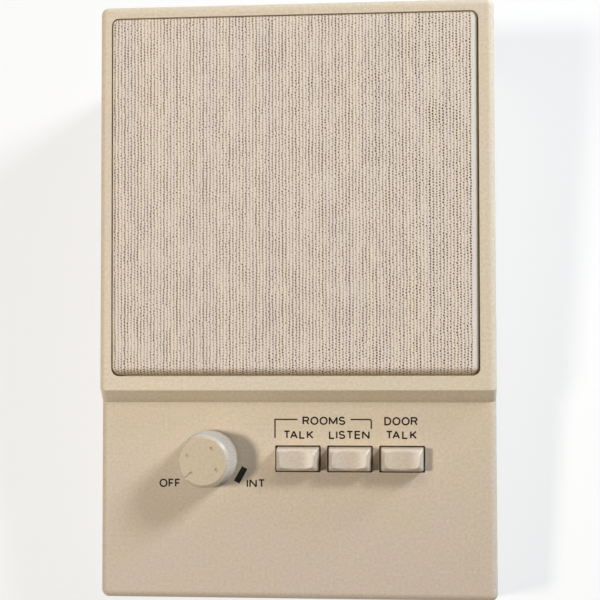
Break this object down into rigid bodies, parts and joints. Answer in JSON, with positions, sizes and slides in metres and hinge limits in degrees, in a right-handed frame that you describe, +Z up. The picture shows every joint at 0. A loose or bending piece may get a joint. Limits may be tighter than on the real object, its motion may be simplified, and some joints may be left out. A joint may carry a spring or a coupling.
{
  "type": "desk intercom",
  "caption": "Low wedge-shaped desk intercom: cloth speaker grille in a raised frame, sloping step, fluted volume knob and talk and listen push keys.",
  "frame": {"origin": "on the table under the middle of the footprint", "axes": "+X to the right of the user, +Y from the user to the rear wall, +Z up"},
  "size_m": [0.1348, 0.2012, 0.0667],
  "materials": {
    "housing_plastic": "fine moulded texture, beige",
    "base_plastic": "moulded, dark brown",
    "zinc_steel": "zinc plated",
    "feet_rubber": "matte black",
    "grommet_rubber": "matte black",
    "board_plastic": "moulded",
    "grille_cloth": "woven, beige with dark flecks",
    "knob_plastic": "moulded, fluted",
    "spring_steel": "bright",
    "shaft_aluminium": "turned",
    "wiper_phenolic": "pressed laminate",
    "bushing_brass": "turned",
    "nut_brass": "nickel plated",
    "tinned_brass": "tinned",
    "switch_phenolic": "moulded brown",
    "block_phenolic": "moulded black",
    "board_laminate": "paper laminate, tan",
    "lamination_steel": "varnished laminations",
    "coil_copper": "enamelled wire",
    "capacitor_sleeve": "shrunk sleeve",
    "ceramic_coat": "dipped",
    "resistor_body": "dipped",
    "transistor_epoxy": "moulded epoxy",
    "gasket_card": "pressed card",
    "magnet_ferrite": "ground ferrite",
    "surround_cloth": "doped cloth",
    "spider_cloth": "resin cloth",
    "cone_paper": "pressed paper",
    "key_plastic": "moulded",
    "plunger_plastic": "moulded, off-white",
    "lead_insulation": "PVC insulation"
  },
  "bodies": {
    "housing": {"front_housing": "housing_plastic", "base_plate": "base_plastic", "base_screws": "zinc_steel", "rubber_feet": "feet_rubber", "cable_grommet": "grommet_rubber", "grille_board": "board_plastic", "grille_cloth": "grille_cloth", "potentiometer_bushing": "bushing_brass", "potentiometer_case": "zinc_steel", "potentiometer_lugs": "tinned_brass", "potentiometer_washer": "zinc_steel", "potentiometer_nut": "nut_brass", "power_switch": "switch_phenolic", "switch_rail": "zinc_steel", "switch_bodies": "switch_phenolic", "switch_contacts": "tinned_brass", "circuit_board": "board_laminate", "board_screws": "zinc_steel", "transformer_core": "lamination_steel", "transformer_coil": "coil_copper", "electrolytic_capacitors": "capacitor_sleeve", "disc_capacitors": "ceramic_coat", "resistors": "resistor_body", "transistors": "transistor_epoxy", "speaker_gasket": "gasket_card", "speaker_basket": "zinc_steel", "speaker_nuts": "spring_steel", "speaker_top_plate": "zinc_steel", "speaker_magnet": "magnet_ferrite", "speaker_yoke": "zinc_steel", "speaker_surround": "surround_cloth", "speaker_spider": "spider_cloth", "speaker_lug_strip": "switch_phenolic", "speaker_lugs": "tinned_brass", "terminal_block": "block_phenolic", "terminal_screws": "nut_brass", "terminal_block_screws": "zinc_steel", "speaker_leads": "lead_insulation", "line_harness": "lead_insulation", "rooms_talk_spring": "spring_steel", "rooms_listen_spring": "spring_steel", "door_talk_spring": "spring_steel"},
    "volume_control": {"volume_knob": "knob_plastic", "knob_clip": "spring_steel", "potentiometer_shaft": "shaft_aluminium", "potentiometer_wiper": "wiper_phenolic"},
    "speaker_moving_parts": {"speaker_cone": "cone_paper", "speaker_dust_cap": "cone_paper", "voice_coil": "coil_copper"},
    "rooms_talk_button": {"rooms_talk_key": "key_plastic", "rooms_talk_plunger": "plunger_plastic"},
    "rooms_listen_button": {"rooms_listen_key": "key_plastic", "rooms_listen_plunger": "plunger_plastic"},
    "door_talk_button": {"door_talk_key": "key_plastic", "door_talk_plunger": "plunger_plastic"}
  },
  "joints": [
    {"name": "volume_turn", "type": "hinge", "parent": "housing", "child": "volume_control", "pos_m": [-0.0297, -0.05367, 0.04153], "axis": [0, 0.1392, -0.9903], "range_deg": [0, 270]},
    {"name": "rooms_talk_press", "type": "slide", "parent": "housing", "child": "rooms_talk_button", "axis": [0, 0.1392, -0.9903], "range_m": [0, 0.003], "stiffness_N_per_m": 300, "springref_m": -0.003, "deforming": ["rooms_talk_spring"]},
    {"name": "rooms_listen_press", "type": "slide", "parent": "housing", "child": "rooms_listen_button", "axis": [0, 0.1392, -0.9903], "range_m": [0, 0.003], "stiffness_N_per_m": 300, "springref_m": -0.003, "deforming": ["rooms_listen_spring"]},
    {"name": "door_talk_press", "type": "slide", "parent": "housing", "child": "door_talk_button", "axis": [0, 0.1392, -0.9903], "range_m": [0, 0.003], "stiffness_N_per_m": 300, "springref_m": -0.003, "deforming": ["door_talk_spring"]},
    {"name": "cone_stroke", "type": "slide", "parent": "housing", "child": "speaker_moving_parts", "axis": [0, -0.1392, 0.9903], "range_m": [-0.0006, 0.0006], "stiffness_N_per_m": 1250, "deforming": ["speaker_surround", "speaker_spider"]}
  ]
}
